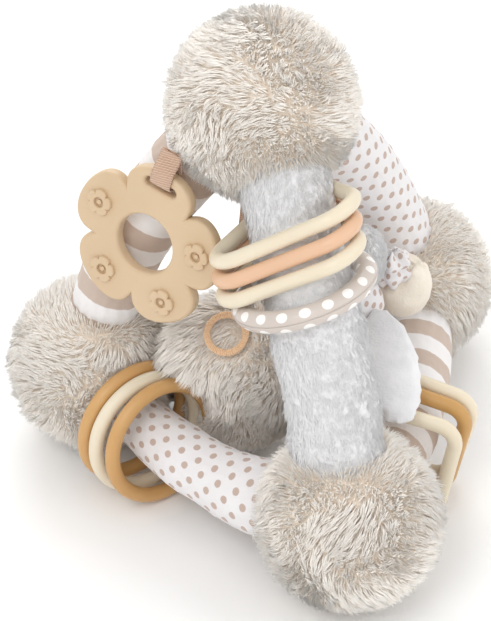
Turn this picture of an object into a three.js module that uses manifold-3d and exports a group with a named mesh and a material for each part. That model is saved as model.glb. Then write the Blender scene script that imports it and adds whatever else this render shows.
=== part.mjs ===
// A plush pyramid rattle: four furry balls at the corners of a tetrahedron, joined by six stuffed
// bars. Loose teething rings ride on three of the bars, with a hollow rattle ring under the
// triangles. A flower teether hangs from a ribbon, and a soft animal hangs in the middle.
// Millimetres, +Z up, standing on the floor with the origin under the middle of the whole toy.
import * as THREE from 'three';
import { mergeVertices } from 'three/addons/utils/BufferGeometryUtils.js';
import Module from 'manifold-3d';

const wasm = await Module();
wasm.setup();

const GAP = 0.4; // play between pieces that touch

// Balls: a plush cover with stuffing inside, measured to the foot of its long pile. The lower
// three stand on a pad of pressed pile.
const BALL_RADIUS = 47;
const COVER_WALL = 4;
const STAND_HEIGHT = 52;
const PAD = { height: 16, bottom: 20, top: 30 };
const CORNERS = {
  top: new THREE.Vector3(-6, 5, 243),
  left: new THREE.Vector3(-93, 51, STAND_HEIGHT),
  right: new THREE.Vector3(107, 63, STAND_HEIGHT),
  front: new THREE.Vector3(0, -124, STAND_HEIGHT),
};

// Bars: each is a bow that bulges away from the middle of the pyramid. The radii are spaced
// evenly from the first ball to the second.
const BAR_BOW = 20.6;
const SLEEVE_WALL = 2;
const BAR_SIDES = 12;
const BAR_STEPS = 7;
const BARS = {
  top_front: { ends: ['top', 'front'], radii: [21.5, 21.5, 22], color: 0xf2f1f3 },
  top_left: { ends: ['top', 'left'], radii: [21.5, 20, 18], color: 0xe3d7cd },
  top_right: { ends: ['top', 'right'], radii: [22, 22, 21.5], color: 0xf0edf0 },
  left_front: { ends: ['left', 'front'], radii: [14.5, 15, 17, 20.5, 21.5], color: 0xf0edf0 },
  right_front: { ends: ['right', 'front'], radii: [23, 22, 20.5, 19, 18], color: 0xe3d7cd },
  left_right: { ends: ['left', 'right'], radii: [20.5, 20.5, 20.5], color: 0xf2f1f3 },
};

// Teething rings: a round rod bent into a triangle, a circle or a square.
const ROD_RADIUS = 4.3;
const ROD_SIDES = 8;
const TRIANGLE = { corners: 3, side: 47.4, cornerRadius: 16.9, cornerSteps: 5 };
const SQUARE = { corners: 4, side: 40, cornerRadius: 12.4, cornerSteps: 4 };
const CIRCLE_RADIUS = 34.4;
const CIRCLE_STEPS = 26;
// at: place along the bar, 0 to 1. slip: offset from the bar's middle, sideways and outwards.
// tilt: turns about the bar's side, outward and lengthwise directions, in degrees.
const RINGS = {
  triangle_upper: { bar: 'top_front', shape: TRIANGLE, at: 0.2726, slip: [-2.5, 0.1], tilt: [18.7, 17.5, -155.4] },
  triangle_middle: { bar: 'top_front', shape: TRIANGLE, at: 0.3167, slip: [-2.9, -0.8], tilt: [18.3, 18.3, -151.6] },
  triangle_lower: { bar: 'top_front', shape: TRIANGLE, at: 0.3602, slip: [-2.8, -1.1], tilt: [17.9, 18.7, -149.8] },
  round_back: { bar: 'left_front', shape: null, at: 0.2365, slip: [0.4, 2.9], tilt: [6.2, 6.4, 1] },
  round_middle: { bar: 'left_front', shape: null, at: 0.291, slip: [0.1, 2.4], tilt: [4.7, 10.4, 0] },
  round_front: { bar: 'left_front', shape: null, at: 0.3465, slip: [-0.9, 0.4], tilt: [5.6, 11.2, 0] },
  square_back: { bar: 'right_front', shape: SQUARE, at: 0.5395, slip: [-3, 0.9], tilt: [2, 6.1, 161] },
  square_middle: { bar: 'right_front', shape: SQUARE, at: 0.583, slip: [-1.5, 0.5], tilt: [0, 7, 163] },
  square_front: { bar: 'right_front', shape: SQUARE, at: 0.679, slip: [0.5, 0.3], tilt: [-4.7, 3.1, 164.5] },
};
const RING_COLORS = {
  triangle_upper: 0xf0e4cd,
  triangle_middle: 0xe4b48c,
  triangle_lower: 0xefe3c8,
  round_back: 0xcfa068,
  round_middle: 0xe8dcc8,
  round_front: 0xd2a56e,
  square_back: 0xe5d2ad,
  square_middle: 0xcda064,
  square_front: 0xe8d6b4,
};

// Rattle ring: two half shells, welded round the middle, with loose beads inside.
const RATTLE = { at: 0.4385, slip: [-2.5, -0.8], tilt: [18.5, 10, 0] };
const RATTLE_RADIUS = 34.8;
const RATTLE_TUBE = 6;
const RATTLE_WALL = 1.4;
const RATTLE_STEPS = 26;
const BEAD_RADIUS = 3.3;
const BEAD_COUNT = 5;
const BEAD_SPACING = 13;
const BEAD_START = 60;

// Flower teether: flat petals with a round hole, a ribbon slot and small raised flowers.
const FLOWER_CENTRE = new THREE.Vector3(-73.4, 1.8, 168.9);
const FLOWER_FACE = new THREE.Vector3(-0.751, -0.633, 0.189).normalize();
const FLOWER_UP = new THREE.Vector3(0.258, -0.019, 0.966);
const PETALS = 5;
const PETAL_TIP = 47;
const PETAL_VALLEY = 30.5;
const PETAL_STEPS = 12;
const FLOWER_THICKNESS = 8;
const FLOWER_EDGE = 1.8;
const FLOWER_HOLE = 17.6;
const SLOT = { distance: 37.5, length: 20, width: 5 };
const RAISED = { distance: 34, tip: 7.8, valley: 5, hole: 2.7, height: 1.2, steps: 4, sunk: 1 };

// Ribbon: a band through the slot and round the petal's edge, sewn into the seam of the top ball.
const RIBBON_WIDTH = 13;
const RIBBON_END = 56;

// Soft animal: plain ellipsoids, given as centre and half sizes.
const ANIMAL = {
  body: { centre: [-19, 8, 57], half: [39, 31, 46], color: 0xded6ca },
  torso: { centre: [34, -4, 97], half: [29, 19, 31], color: 0xf0edf0 },
  shoulder: { centre: [48, -10, 137], half: [14, 13, 19], color: 0xf2f1f3 },
  cuff: { centre: [71.5, 0.5, 115.5], half: [11.5, 10, 13], color: 0xf0edf0 },
  paw: { centre: [80.5, 3.5, 98], half: [16, 14, 20], color: 0xd9d0be },
};
const HOLLOW = { at: 0.3, slip: [-0.5, 1], tilt: [5, 9, 0], radius: 41.5, length: 50 };
const EAR = { from: [55, -17, 105], to: [41, -97, 82], width: 40, thickness: 10, color: 0xebebee };
const PATCH = { face: [-0.305, -0.55, 0.777], lift: 4, radius: 11, thread: 1.5 };
const LOOP = { from: [-6, 19, 197.2], to: [-19, 8, 103.8], width: 10, thickness: 1 };

const DEGREE = Math.PI / 180;
const model = new THREE.Group();
const vector = (values) => new THREE.Vector3(...values);

// ---- solids ----

function signedVolume(geometry) {
  const position = geometry.getAttribute('position');
  const corner = [new THREE.Vector3(), new THREE.Vector3(), new THREE.Vector3()];
  let total = 0;
  for (let i = 0; i < geometry.index.count; i += 3) {
    corner.forEach((point, k) => point.fromBufferAttribute(position, geometry.index.getX(i + k)));
    total += corner[0].dot(corner[1].clone().cross(corner[2])) / 6;
  }
  return total;
}

// One closed surface with shared vertices and its faces pointing out.
function closed(geometry) {
  const bare = geometry.clone();
  bare.deleteAttribute('normal');
  bare.deleteAttribute('uv');
  const merged = mergeVertices(bare, 1e-4);
  const triangles = [];
  const index = merged.index.array;
  const flip = signedVolume(merged) < 0;
  for (let i = 0; i < index.length; i += 3) {
    const [a, b, c] = [index[i], index[i + 1], index[i + 2]];
    if (a === b || b === c || c === a) continue;
    triangles.push(a, flip ? c : b, flip ? b : c);
  }
  merged.setIndex(triangles);
  return merged;
}

function solid(geometry) {
  const shell = closed(geometry);
  const mesh = new wasm.Mesh({
    numProp: 3,
    vertProperties: new Float32Array(shell.getAttribute('position').array),
    triVerts: new Uint32Array(shell.index.array),
  });
  return new wasm.Manifold(mesh);
}

function geometryOf(manifold) {
  const mesh = manifold.getMesh();
  const geometry = new THREE.BufferGeometry();
  geometry.setAttribute('position', new THREE.BufferAttribute(mesh.vertProperties, 3));
  geometry.setIndex(new THREE.BufferAttribute(mesh.triVerts, 1));
  return geometry;
}

function addNode(name, geometry, color, roughness, parent = model) {
  const shell = closed(geometry);
  shell.computeVertexNormals();
  const material = new THREE.MeshStandardMaterial({ color, roughness, metalness: 0 });
  const mesh = new THREE.Mesh(shell, material);
  mesh.name = name;
  parent.add(mesh);
  return mesh;
}

const FABRIC = 0.95;
const PLASTIC = 0.4;

// ---- balls and bars ----

function ballGeometry(centre, radius, detail) {
  return new THREE.IcosahedronGeometry(radius, detail).translate(...centre.toArray());
}

function padGeometry({ x, y }) {
  const pad = new THREE.CylinderGeometry(PAD.top, PAD.bottom, PAD.height, 20);
  return pad.rotateX(Math.PI / 2).translate(x, y, PAD.height / 2);
}

// The circular bow from one ball's centre to another's.
function makeBow([first, second]) {
  const start = CORNERS[first];
  const end = CORNERS[second];
  const middle = start.clone().lerp(end, 0.5);
  const chord = start.distanceTo(end);
  const along = end.clone().sub(start).normalize();
  const centroid = Object.values(CORNERS).reduce((sum, c) => sum.add(c), new THREE.Vector3());
  const out = middle.clone().sub(centroid.multiplyScalar(0.25));
  out.addScaledVector(along, -out.dot(along)).normalize();
  const radius = (chord * chord / 4 + BAR_BOW * BAR_BOW) / (2 * BAR_BOW);
  const centre = middle.clone().addScaledVector(out, BAR_BOW - radius);
  const half = Math.asin(chord / 2 / radius);
  return { along, out, radius, centre, half, length: 2 * half * radius };
}

// Place and directions on a bow, for t from 0 to 1.
function bowFrame(bow, t) {
  const angle = (2 * t - 1) * bow.half;
  const out = bow.out.clone().multiplyScalar(Math.cos(angle)).addScaledVector(bow.along, Math.sin(angle));
  const ahead = bow.along.clone().multiplyScalar(Math.cos(angle)).addScaledVector(bow.out, -Math.sin(angle));
  const point = bow.centre.clone().addScaledVector(out, bow.radius);
  return { point, out, ahead, side: out.clone().cross(ahead) };
}

function radiusAt(radii, t) {
  const place = t * (radii.length - 1);
  const step = Math.min(Math.floor(place), radii.length - 2);
  return THREE.MathUtils.lerp(radii[step], radii[step + 1], place - step);
}

// A lathe whose height runs from 0 to 1 along the bow.
function bend(lathe, bow) {
  const position = lathe.getAttribute('position');
  for (let i = 0; i < position.count; i += 1) {
    const frame = bowFrame(bow, position.getY(i));
    frame.point.addScaledVector(frame.out, position.getX(i));
    frame.point.addScaledVector(frame.side, position.getZ(i));
    position.setXYZ(i, ...frame.point.toArray());
  }
  return lathe;
}

// insets: how far from the two balls' centres the piece ends. grow: added to the bar's radius.
function barProfile(bar, insets, grow) {
  const from = insets[0] / bar.bow.length;
  const to = 1 - insets[1] / bar.bow.length;
  const points = [];
  for (let step = 0; step <= BAR_STEPS; step += 1) {
    const t = THREE.MathUtils.lerp(from, to, step / BAR_STEPS);
    points.push(new THREE.Vector2(radiusAt(bar.radii, t) + grow, t));
  }
  return points;
}

function solidBar(bar, inset, grow) {
  const points = barProfile(bar, [inset, inset], grow);
  const first = new THREE.Vector2(0, points[0].y);
  const last = new THREE.Vector2(0, points[BAR_STEPS].y);
  return bend(new THREE.LatheGeometry([first, ...points, last], BAR_SIDES), bar.bow);
}

const STUFFING_RADIUS = BALL_RADIUS - COVER_WALL - GAP;

// A sleeve runs into both covers until its inner edge meets the balls' stuffing.
function hollowBar(bar) {
  const ends = [bar.radii[0], bar.radii[bar.radii.length - 1]];
  const insets = ends.map((radius) => Math.sqrt(STUFFING_RADIUS ** 2 - (radius - SLEEVE_WALL) ** 2) + 2);
  const outer = barProfile(bar, insets, 0);
  const inner = barProfile(bar, insets, -SLEEVE_WALL).reverse();
  return bend(new THREE.LatheGeometry([...outer, ...inner, outer[0]], BAR_SIDES), bar.bow);
}

const bars = {};
for (const [name, bar] of Object.entries(BARS)) {
  bars[name] = { ...bar, bow: makeBow(bar.ends) };
  addNode(`bar_${name}_sleeve`, hollowBar(bars[name]), bar.color, FABRIC);
  const stuffing = solidBar(bars[name], STUFFING_RADIUS + GAP, -SLEEVE_WALL - GAP);
  addNode(`bar_${name}_stuffing`, stuffing, 0xf7f6f4, FABRIC);
}

for (const [name, centre] of Object.entries(CORNERS)) {
  let cover = solid(ballGeometry(centre, BALL_RADIUS, 3));
  if (centre.z === STAND_HEIGHT) cover = cover.add(solid(padGeometry(centre)));
  cover = cover.subtract(solid(ballGeometry(centre, BALL_RADIUS - COVER_WALL, 2)));
  for (const bar of Object.values(bars)) {
    if (bar.ends.includes(name)) cover = cover.subtract(solid(solidBar(bar, BALL_RADIUS / 2, GAP)));
  }
  addNode(`ball_${name}_cover`, geometryOf(cover), 0xe2dacd, FABRIC);
  addNode(`ball_${name}_stuffing`, ballGeometry(centre, STUFFING_RADIUS, 2), 0xf7f6f4, FABRIC);
}

// ---- rings ----

// A group at a place on a bar: X sideways, Y outwards and Z along the bar, before its tilt.
function placeOnBar({ bow }, { at, slip, tilt }) {
  const frame = bowFrame(bow, at);
  const group = new THREE.Group();
  group.quaternion.setFromRotationMatrix(
    new THREE.Matrix4().makeBasis(frame.side, frame.out, frame.ahead),
  );
  group.position.copy(frame.point);
  const tilted = new THREE.Group();
  tilted.position.set(slip[0], slip[1], 0);
  tilted.rotation.set(...tilt.map((angle) => angle * DEGREE));
  group.add(tilted);
  model.add(group);
  return tilted;
}

// Middle line of a rod bent into a polygon with round corners: points and outward directions.
function polygonLine({ corners, side, cornerRadius, cornerSteps }) {
  const reach = side / (2 * Math.sin(Math.PI / corners));
  const line = [];
  for (let corner = 0; corner < corners; corner += 1) {
    const middle = Math.PI / 2 + corner * 2 * Math.PI / corners;
    const centre = new THREE.Vector2(Math.cos(middle), Math.sin(middle)).multiplyScalar(reach);
    for (let step = 0; step <= cornerSteps; step += 1) {
      const angle = middle + (2 * step / cornerSteps - 1) * Math.PI / corners;
      const out = new THREE.Vector2(Math.cos(angle), Math.sin(angle));
      line.push({ out, point: centre.clone().addScaledVector(out, cornerRadius) });
    }
  }
  return line;
}

// A torus carried over to the polygon's middle line.
function polygonRing(shape) {
  const line = polygonLine(shape);
  const nominal = 100;
  const ring = new THREE.TorusGeometry(nominal, ROD_RADIUS, ROD_SIDES, line.length);
  const position = ring.getAttribute('position');
  for (let i = 0; i < position.count; i += 1) {
    const { point, out } = line[i % (line.length + 1) % line.length];
    const reach = Math.hypot(position.getX(i), position.getY(i)) - nominal;
    position.setXY(i, point.x + out.x * reach, point.y + out.y * reach);
  }
  return ring;
}

for (const [name, ring] of Object.entries(RINGS)) {
  const geometry = ring.shape
    ? polygonRing(ring.shape)
    : new THREE.TorusGeometry(CIRCLE_RADIUS, ROD_RADIUS, ROD_SIDES, CIRCLE_STEPS);
  addNode(`ring_${name}`, geometry, RING_COLORS[name], PLASTIC, placeOnBar(bars[ring.bar], ring));
}

// ---- rattle ring ----

function halfShell() {
  const steps = 4;
  const arc = (radius) => Array.from({ length: steps + 1 }, (_, k) => new THREE.Vector2(
    RATTLE_RADIUS + radius * Math.cos(Math.PI * k / steps),
    GAP / 2 + radius * Math.sin(Math.PI * k / steps),
  ));
  const outer = arc(RATTLE_TUBE);
  const inner = arc(RATTLE_TUBE - RATTLE_WALL).reverse();
  return new THREE.LatheGeometry([...outer, ...inner, outer[0]], RATTLE_STEPS).rotateX(Math.PI / 2);
}

const rattle = placeOnBar(bars.top_front, RATTLE);
addNode('rattle_ring_lower_half', halfShell(), 0xd5cbc5, PLASTIC, rattle);
addNode('rattle_ring_upper_half', halfShell().rotateX(Math.PI), 0xd5cbc5, PLASTIC, rattle);
for (let bead = 0; bead < BEAD_COUNT; bead += 1) {
  const angle = (BEAD_START + bead * BEAD_SPACING) * DEGREE;
  const geometry = new THREE.IcosahedronGeometry(BEAD_RADIUS, 1);
  geometry.translate(RATTLE_RADIUS * Math.cos(angle), RATTLE_RADIUS * Math.sin(angle), 0);
  addNode(`rattle_bead_${bead + 1}`, geometry, 0xf4f2ee, PLASTIC, rattle);
}

// ---- flower teether and its ribbon ----

// Petals with broad ends: the edge falls from tip to valley as a curve.
function flowerShape(tip, valley, steps) {
  const shape = new THREE.Shape();
  const points = [];
  for (let i = 0; i < PETALS * steps; i += 1) {
    const share = 2 * (i % steps) / steps - 1;
    const radius = valley + (tip - valley) * Math.sqrt(1 - Math.abs(share) ** 3);
    const angle = Math.PI / 2 + (2 * i / steps - 1) * Math.PI / PETALS;
    points.push(new THREE.Vector2(radius * Math.cos(angle), radius * Math.sin(angle)));
  }
  return shape.setFromPoints(points);
}

function roundHole(x, y, radius) {
  return new THREE.Path().absarc(x, y, radius, 0, 2 * Math.PI);
}

function slotHole() {
  const reach = (SLOT.length - SLOT.width) / 2;
  const hole = new THREE.Path();
  hole.absarc(reach, SLOT.distance, SLOT.width / 2, -Math.PI / 2, Math.PI / 2);
  hole.absarc(-reach, SLOT.distance, SLOT.width / 2, Math.PI / 2, 1.5 * Math.PI);
  return hole;
}

function flowerGeometry() {
  const shape = flowerShape(PETAL_TIP, PETAL_VALLEY, PETAL_STEPS);
  shape.holes.push(roundHole(0, 0, FLOWER_HOLE), slotHole());
  const plate = new THREE.ExtrudeGeometry(shape, {
    depth: FLOWER_THICKNESS - 2 * FLOWER_EDGE,
    bevelThickness: FLOWER_EDGE,
    bevelSize: FLOWER_EDGE,
    bevelOffset: -FLOWER_EDGE,
    bevelSegments: 1,
    curveSegments: 10,
  });
  plate.translate(0, 0, FLOWER_EDGE - FLOWER_THICKNESS / 2);
  let flower = solid(plate);
  const raisedShape = flowerShape(RAISED.tip, RAISED.valley, RAISED.steps);
  raisedShape.holes.push(roundHole(0, 0, RAISED.hole));
  for (let petal = 1; petal < PETALS; petal += 1) {
    const turn = petal * 2 * Math.PI / PETALS;
    const depth = RAISED.height + RAISED.sunk;
    const raised = new THREE.ExtrudeGeometry(raisedShape, { depth, bevelEnabled: false, curveSegments: 3 });
    raised.translate(0, RAISED.distance, FLOWER_THICKNESS / 2 - RAISED.sunk).rotateZ(turn);
    flower = flower.add(solid(raised));
  }
  return geometryOf(flower);
}

const flowerSide = FLOWER_UP.clone().cross(FLOWER_FACE).normalize();
const flowerUp = FLOWER_FACE.clone().cross(flowerSide);
const flowerPlace = new THREE.Group();
flowerPlace.position.copy(FLOWER_CENTRE);
flowerPlace.quaternion.setFromRotationMatrix(
  new THREE.Matrix4().makeBasis(flowerSide, flowerUp, FLOWER_FACE),
);
model.add(flowerPlace);
addNode('flower_teether', flowerGeometry(), 0xe1c596, PLASTIC, flowerPlace);

// The band's edge view: up the petal in Y, through its thickness in Z.
function ribbonGeometry() {
  const inside = FLOWER_THICKNESS / 2 + 0.9;
  const outside = inside + 1;
  const bottom = SLOT.distance - 0.4;
  const shape = new THREE.Shape([
    new THREE.Vector2(-3.2, bottom),
    new THREE.Vector2(3.2, bottom),
    new THREE.Vector2(outside, bottom + 1.6),
    new THREE.Vector2(outside, PETAL_TIP + 1),
    new THREE.Vector2(1.1, RIBBON_END - 3),
    new THREE.Vector2(1.1, RIBBON_END),
    new THREE.Vector2(-1.1, RIBBON_END),
    new THREE.Vector2(-1.1, RIBBON_END - 3),
    new THREE.Vector2(-outside, PETAL_TIP + 1),
    new THREE.Vector2(-outside, bottom + 1.6),
  ]);
  shape.holes.push(new THREE.Path([
    new THREE.Vector2(-3, bottom + 1.1),
    new THREE.Vector2(-inside, bottom + 2),
    new THREE.Vector2(-inside, PETAL_TIP + 0.8),
    new THREE.Vector2(0, RIBBON_END - 3.6),
    new THREE.Vector2(inside, PETAL_TIP + 0.8),
    new THREE.Vector2(inside, bottom + 2),
    new THREE.Vector2(3, bottom + 1.1),
  ]));
  const band = new THREE.ExtrudeGeometry(shape, { depth: RIBBON_WIDTH, bevelEnabled: false });
  return band.translate(0, 0, -RIBBON_WIDTH / 2).rotateY(-Math.PI / 2);
}

addNode('flower_ribbon', ribbonGeometry(), 0xe4bda2, FABRIC, flowerPlace);

// ---- soft animal ----

function ellipsoid(half, detail) {
  return new THREE.IcosahedronGeometry(1, detail).scale(...half);
}

function animalPart({ centre, half }, detail, grow = 0) {
  return ellipsoid(half.map((size) => size + grow), detail).translate(...centre);
}

// The soft body gives way where the round rings lean on it.
const hollow = new THREE.Mesh(new THREE.CylinderGeometry(HOLLOW.radius, HOLLOW.radius, HOLLOW.length, 24));
hollow.rotation.x = Math.PI / 2;
placeOnBar(bars.left_front, HOLLOW).add(hollow);
hollow.updateWorldMatrix(true, false);
const body = solid(animalPart(ANIMAL.body, 3));
const givenWay = body.subtract(solid(hollow.geometry.clone().applyMatrix4(hollow.matrixWorld)));
hollow.removeFromParent();
addNode('animal_body', geometryOf(givenWay), ANIMAL.body.color, FABRIC);
addNode('animal_shoulder', animalPart(ANIMAL.shoulder, 2), ANIMAL.shoulder.color, FABRIC);
addNode('animal_cuff', animalPart(ANIMAL.cuff, 2), ANIMAL.cuff.color, FABRIC);
const torso = solid(animalPart(ANIMAL.torso, 2))
  .subtract(solid(animalPart(ANIMAL.shoulder, 2, GAP)))
  .subtract(solid(animalPart(ANIMAL.cuff, 2, GAP)))
  .subtract(solid(animalPart(ANIMAL.body, 3, GAP)));
addNode('animal_torso', geometryOf(torso), ANIMAL.torso.color, FABRIC);
const paw = solid(animalPart(ANIMAL.paw, 2)).subtract(solid(animalPart(ANIMAL.cuff, 2, GAP)));
addNode('animal_paw', geometryOf(paw), ANIMAL.paw.color, FABRIC);

// A piece laid from one point to another: its X runs along, and its Z faces the way given.
function layBetween(mesh, from, to, face) {
  const along = vector(to).sub(vector(from)).normalize();
  const across = face.clone().cross(along).normalize();
  const basis = new THREE.Matrix4().makeBasis(along, across, along.clone().cross(across));
  mesh.quaternion.setFromRotationMatrix(basis);
  mesh.position.copy(vector(from).lerp(vector(to), 0.5));
}

const earHalf = [vector(EAR.from).distanceTo(vector(EAR.to)) / 2, EAR.width / 2, EAR.thickness / 2];
const lobe = new THREE.Mesh(ellipsoid(earHalf, 3));
layBetween(lobe, EAR.from, EAR.to, new THREE.Vector3(-0.14, -0.4, 0.9));
lobe.updateMatrix();
const ear = solid(lobe.geometry.clone().applyMatrix4(lobe.matrix))
  .subtract(solid(animalPart(ANIMAL.torso, 2, GAP)));
addNode('animal_ear', geometryOf(ear), EAR.color, FABRIC);

const patch = addNode(
  'animal_stitched_ring',
  new THREE.TorusGeometry(PATCH.radius, PATCH.thread, 6, 18),
  0xe3b48a,
  FABRIC,
);
const patchFace = vector(PATCH.face).normalize();
const bodyHalf = vector(ANIMAL.body.half);
const slope = bodyHalf.clone().multiply(patchFace);
patch.position.copy(slope).multiply(bodyHalf).divideScalar(slope.length());
patch.position.add(vector(ANIMAL.body.centre)).addScaledVector(patchFace, PATCH.lift);
patch.quaternion.setFromUnitVectors(new THREE.Vector3(0, 0, 1), patchFace);

const loopLength = vector(LOOP.from).distanceTo(vector(LOOP.to));
const loopBox = new THREE.BoxGeometry(loopLength, LOOP.width, LOOP.thickness);
const loop = addNode('animal_hanging_ribbon', loopBox, 0xe4bda2, FABRIC);
layBetween(loop, LOOP.from, LOOP.to, new THREE.Vector3(0, -1, 0));

// ---- origin under the middle of the footprint ----

const box = new THREE.Box3().setFromObject(model, true);
const middle = box.getCenter(new THREE.Vector3());
model.position.set(-middle.x, -middle.y, -box.min.z);
model.updateMatrixWorld(true);

export default model;
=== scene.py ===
import math

import bmesh
import bpy
import numpy as np
from mathutils import Matrix, Vector
from mathutils.kdtree import KDTree


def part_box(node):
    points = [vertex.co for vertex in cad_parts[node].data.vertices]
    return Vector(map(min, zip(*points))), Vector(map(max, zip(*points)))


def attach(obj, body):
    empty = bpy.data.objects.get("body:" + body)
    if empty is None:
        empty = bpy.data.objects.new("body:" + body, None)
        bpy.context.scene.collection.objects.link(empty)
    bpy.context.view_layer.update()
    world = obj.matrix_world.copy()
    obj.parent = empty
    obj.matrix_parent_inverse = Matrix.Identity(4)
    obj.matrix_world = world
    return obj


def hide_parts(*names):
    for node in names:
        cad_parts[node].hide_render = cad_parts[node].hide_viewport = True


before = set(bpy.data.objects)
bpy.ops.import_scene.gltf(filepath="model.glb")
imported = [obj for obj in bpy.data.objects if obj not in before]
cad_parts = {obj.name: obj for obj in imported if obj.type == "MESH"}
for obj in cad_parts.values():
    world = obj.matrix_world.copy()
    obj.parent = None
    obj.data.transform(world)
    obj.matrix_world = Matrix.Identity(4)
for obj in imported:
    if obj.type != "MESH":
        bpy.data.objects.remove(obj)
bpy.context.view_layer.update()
MM = 0.001
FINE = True

# ---- camera, floor and light ----

scene = bpy.context.scene
scene.view_settings.view_transform = "Standard"
scene.cycles.diffuse_bounces = 8


def look(position, forward, up):
    """Where a camera or light stands, given the way that it faces."""
    forward = Vector(forward).normalized()
    side = forward.cross(Vector(up)).normalized()
    turn = Matrix((side, side.cross(forward), -forward)).transposed()
    return Matrix.Translation(position) @ turn.to_4x4()


CAMERA_AT = (-0.4119, -1.1235, 1.0752)
CAMERA_FORWARD = (0.249, 0.742, -0.622)
CAMERA_UP = (0.202, 0.588, 0.783)
camera = bpy.data.objects.new("camera", bpy.data.cameras.new("camera"))
scene.collection.objects.link(camera)
camera.matrix_world = look(CAMERA_AT, CAMERA_FORWARD, CAMERA_UP)
camera.data.sensor_fit = "HORIZONTAL"
camera.data.sensor_width = 36
camera.data.lens = 201.5
camera.data.clip_end = 20
scene.camera = camera


def area_light(name, position, aim_height, size, power):
    """A round soft light that points at a height over the floor's middle."""
    light = bpy.data.lights.new(name, "AREA")
    light.shape = "DISK"
    light.size = size
    light.energy = power
    holder = bpy.data.objects.new(name, light)
    holder.matrix_world = look(position, Vector((0, 0, aim_height)) - Vector(position), (0, 0, 1))
    scene.collection.objects.link(holder)


area_light("key", (-0.9, -0.9, 1.7), 0.12, 0.9, 8.5)
area_light("fill", (1.2, -0.9, 1.0), 0.12, 1.2, 4)
area_light("front", (-0.3, -1.5, 0.8), 0.12, 1.2, 1)
area_light("rear", (0.2, 1.4, 1.3), 0.15, 1.2, 12)

world = bpy.data.worlds.new("studio")
world.use_nodes = True
world.node_tree.nodes["Background"].inputs[0].default_value = (1, 0.995, 0.985, 1)
world.node_tree.nodes["Background"].inputs[1].default_value = 0.96
scene.world = world


# ---- materials ----

class Paint:
    """A node material with one Principled shader."""

    def __init__(self, name, roughness=0.8, sheen=0.0, specular=0.3, color=None):
        self.material = bpy.data.materials.new(name)
        self.material.use_nodes = True
        self.tree = self.material.node_tree
        self.shader = self.tree.nodes["Principled BSDF"]
        self.set("Roughness", roughness)
        self.set("Sheen Weight", sheen)
        self.set("Sheen Roughness", 0.4)
        self.set("Specular IOR Level", specular)
        if color:
            self.set("Base Color", (*color, 1))

    def set(self, socket, value):
        self.shader.inputs[socket].default_value = value

    def node(self, kind, **values):
        made = self.tree.nodes.new("ShaderNode" + kind)
        for key, value in values.items():
            setattr(made, key, value)
        return made

    def link(self, output, target):
        self.tree.links.new(output, target)

    def value(self, source, target):
        """Set an input to a number, or link it."""
        if isinstance(source, (int, float)):
            target.default_value = source
        else:
            self.link(source, target)

    def math(self, operation, a, b=0.0):
        made = self.node("Math", operation=operation)
        for source, target in zip((a, b), made.inputs):
            self.value(source, target)
        return made.outputs[0]

    def cloth(self):
        """The cloth's own coordinates, in millimetres across and along."""
        split = self.node("SeparateXYZ")
        self.link(self.node("UVMap", uv_map="cloth").outputs["UV"], split.inputs[0])
        return split.outputs[0], split.outputs[1]

    def noise(self, scale, detail=3.0):
        texture = self.node("TexNoise")
        texture.inputs["Scale"].default_value = scale
        texture.inputs["Detail"].default_value = detail
        self.link(self.node("TexCoord").outputs["Object"], texture.inputs["Vector"])
        return texture.outputs["Fac"]

    def offset(self, repeats, pitch):
        """Distance from the middle of the repeat that a place is in."""
        return self.math("MULTIPLY", self.math("SUBTRACT", self.math("FRACT", repeats), 0.5), pitch)

    def reach(self, a, b):
        return self.math("SQRT", self.math("ADD", self.math("MULTIPLY", a, a), self.math("MULTIPLY", b, b)))

    def mix(self, factor, a, b):
        """a where the factor is 0 and b where it is 1."""
        made = self.node("Mix", data_type="RGBA")
        self.value(factor, made.inputs["Factor"])
        for source, target in ((a, made.inputs["A"]), (b, made.inputs["B"])):
            if isinstance(source, tuple):
                target.default_value = (*source, 1)
            else:
                self.link(source, target)
        return made.outputs["Result"]

    def ramp(self, factor, low, high, start=0.0, end=1.0):
        """From start, where the factor is low, to end, where it is high."""
        made = self.node("MapRange")
        ends = zip(("From Min", "From Max", "To Min", "To Max"), (low, high, start, end))
        for name, number in ends:
            made.inputs[name].default_value = number
        self.link(factor, made.inputs["Value"])
        return made.outputs[0]

    def color(self, source):
        self.link(source, self.shader.inputs["Base Color"])

    def bump(self, height, strength, distance):
        """Roughen the surface, and give the finished material."""
        made = self.node("Bump")
        made.inputs["Strength"].default_value = strength
        made.inputs["Distance"].default_value = distance
        self.link(height, made.inputs["Height"])
        self.link(made.outputs[0], self.shader.inputs["Normal"])
        return self.material


WEAVE_PITCH = 0.7
COTTON = (0.83, 0.81, 0.82)
DOT = (0.53, 0.41, 0.355)
DOT_EDGE = 0.35
STRIPE_WIDTH = 12.3
STRIPE_START = 3.0
STRIPE_EDGE = 0.3
RIB_TURN = 4.6
RIB_SLANT = 0.25


def weave(paint):
    """Height of a plain weave, from the cloth's own coordinates."""
    across, along = paint.cloth()
    turns = 2 * math.pi / WEAVE_PITCH
    warp = paint.math("SINE", paint.math("MULTIPLY", across, turns))
    weft = paint.math("SINE", paint.math("MULTIPLY", along, turns))
    return paint.math("MULTIPLY", warp, weft)


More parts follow.
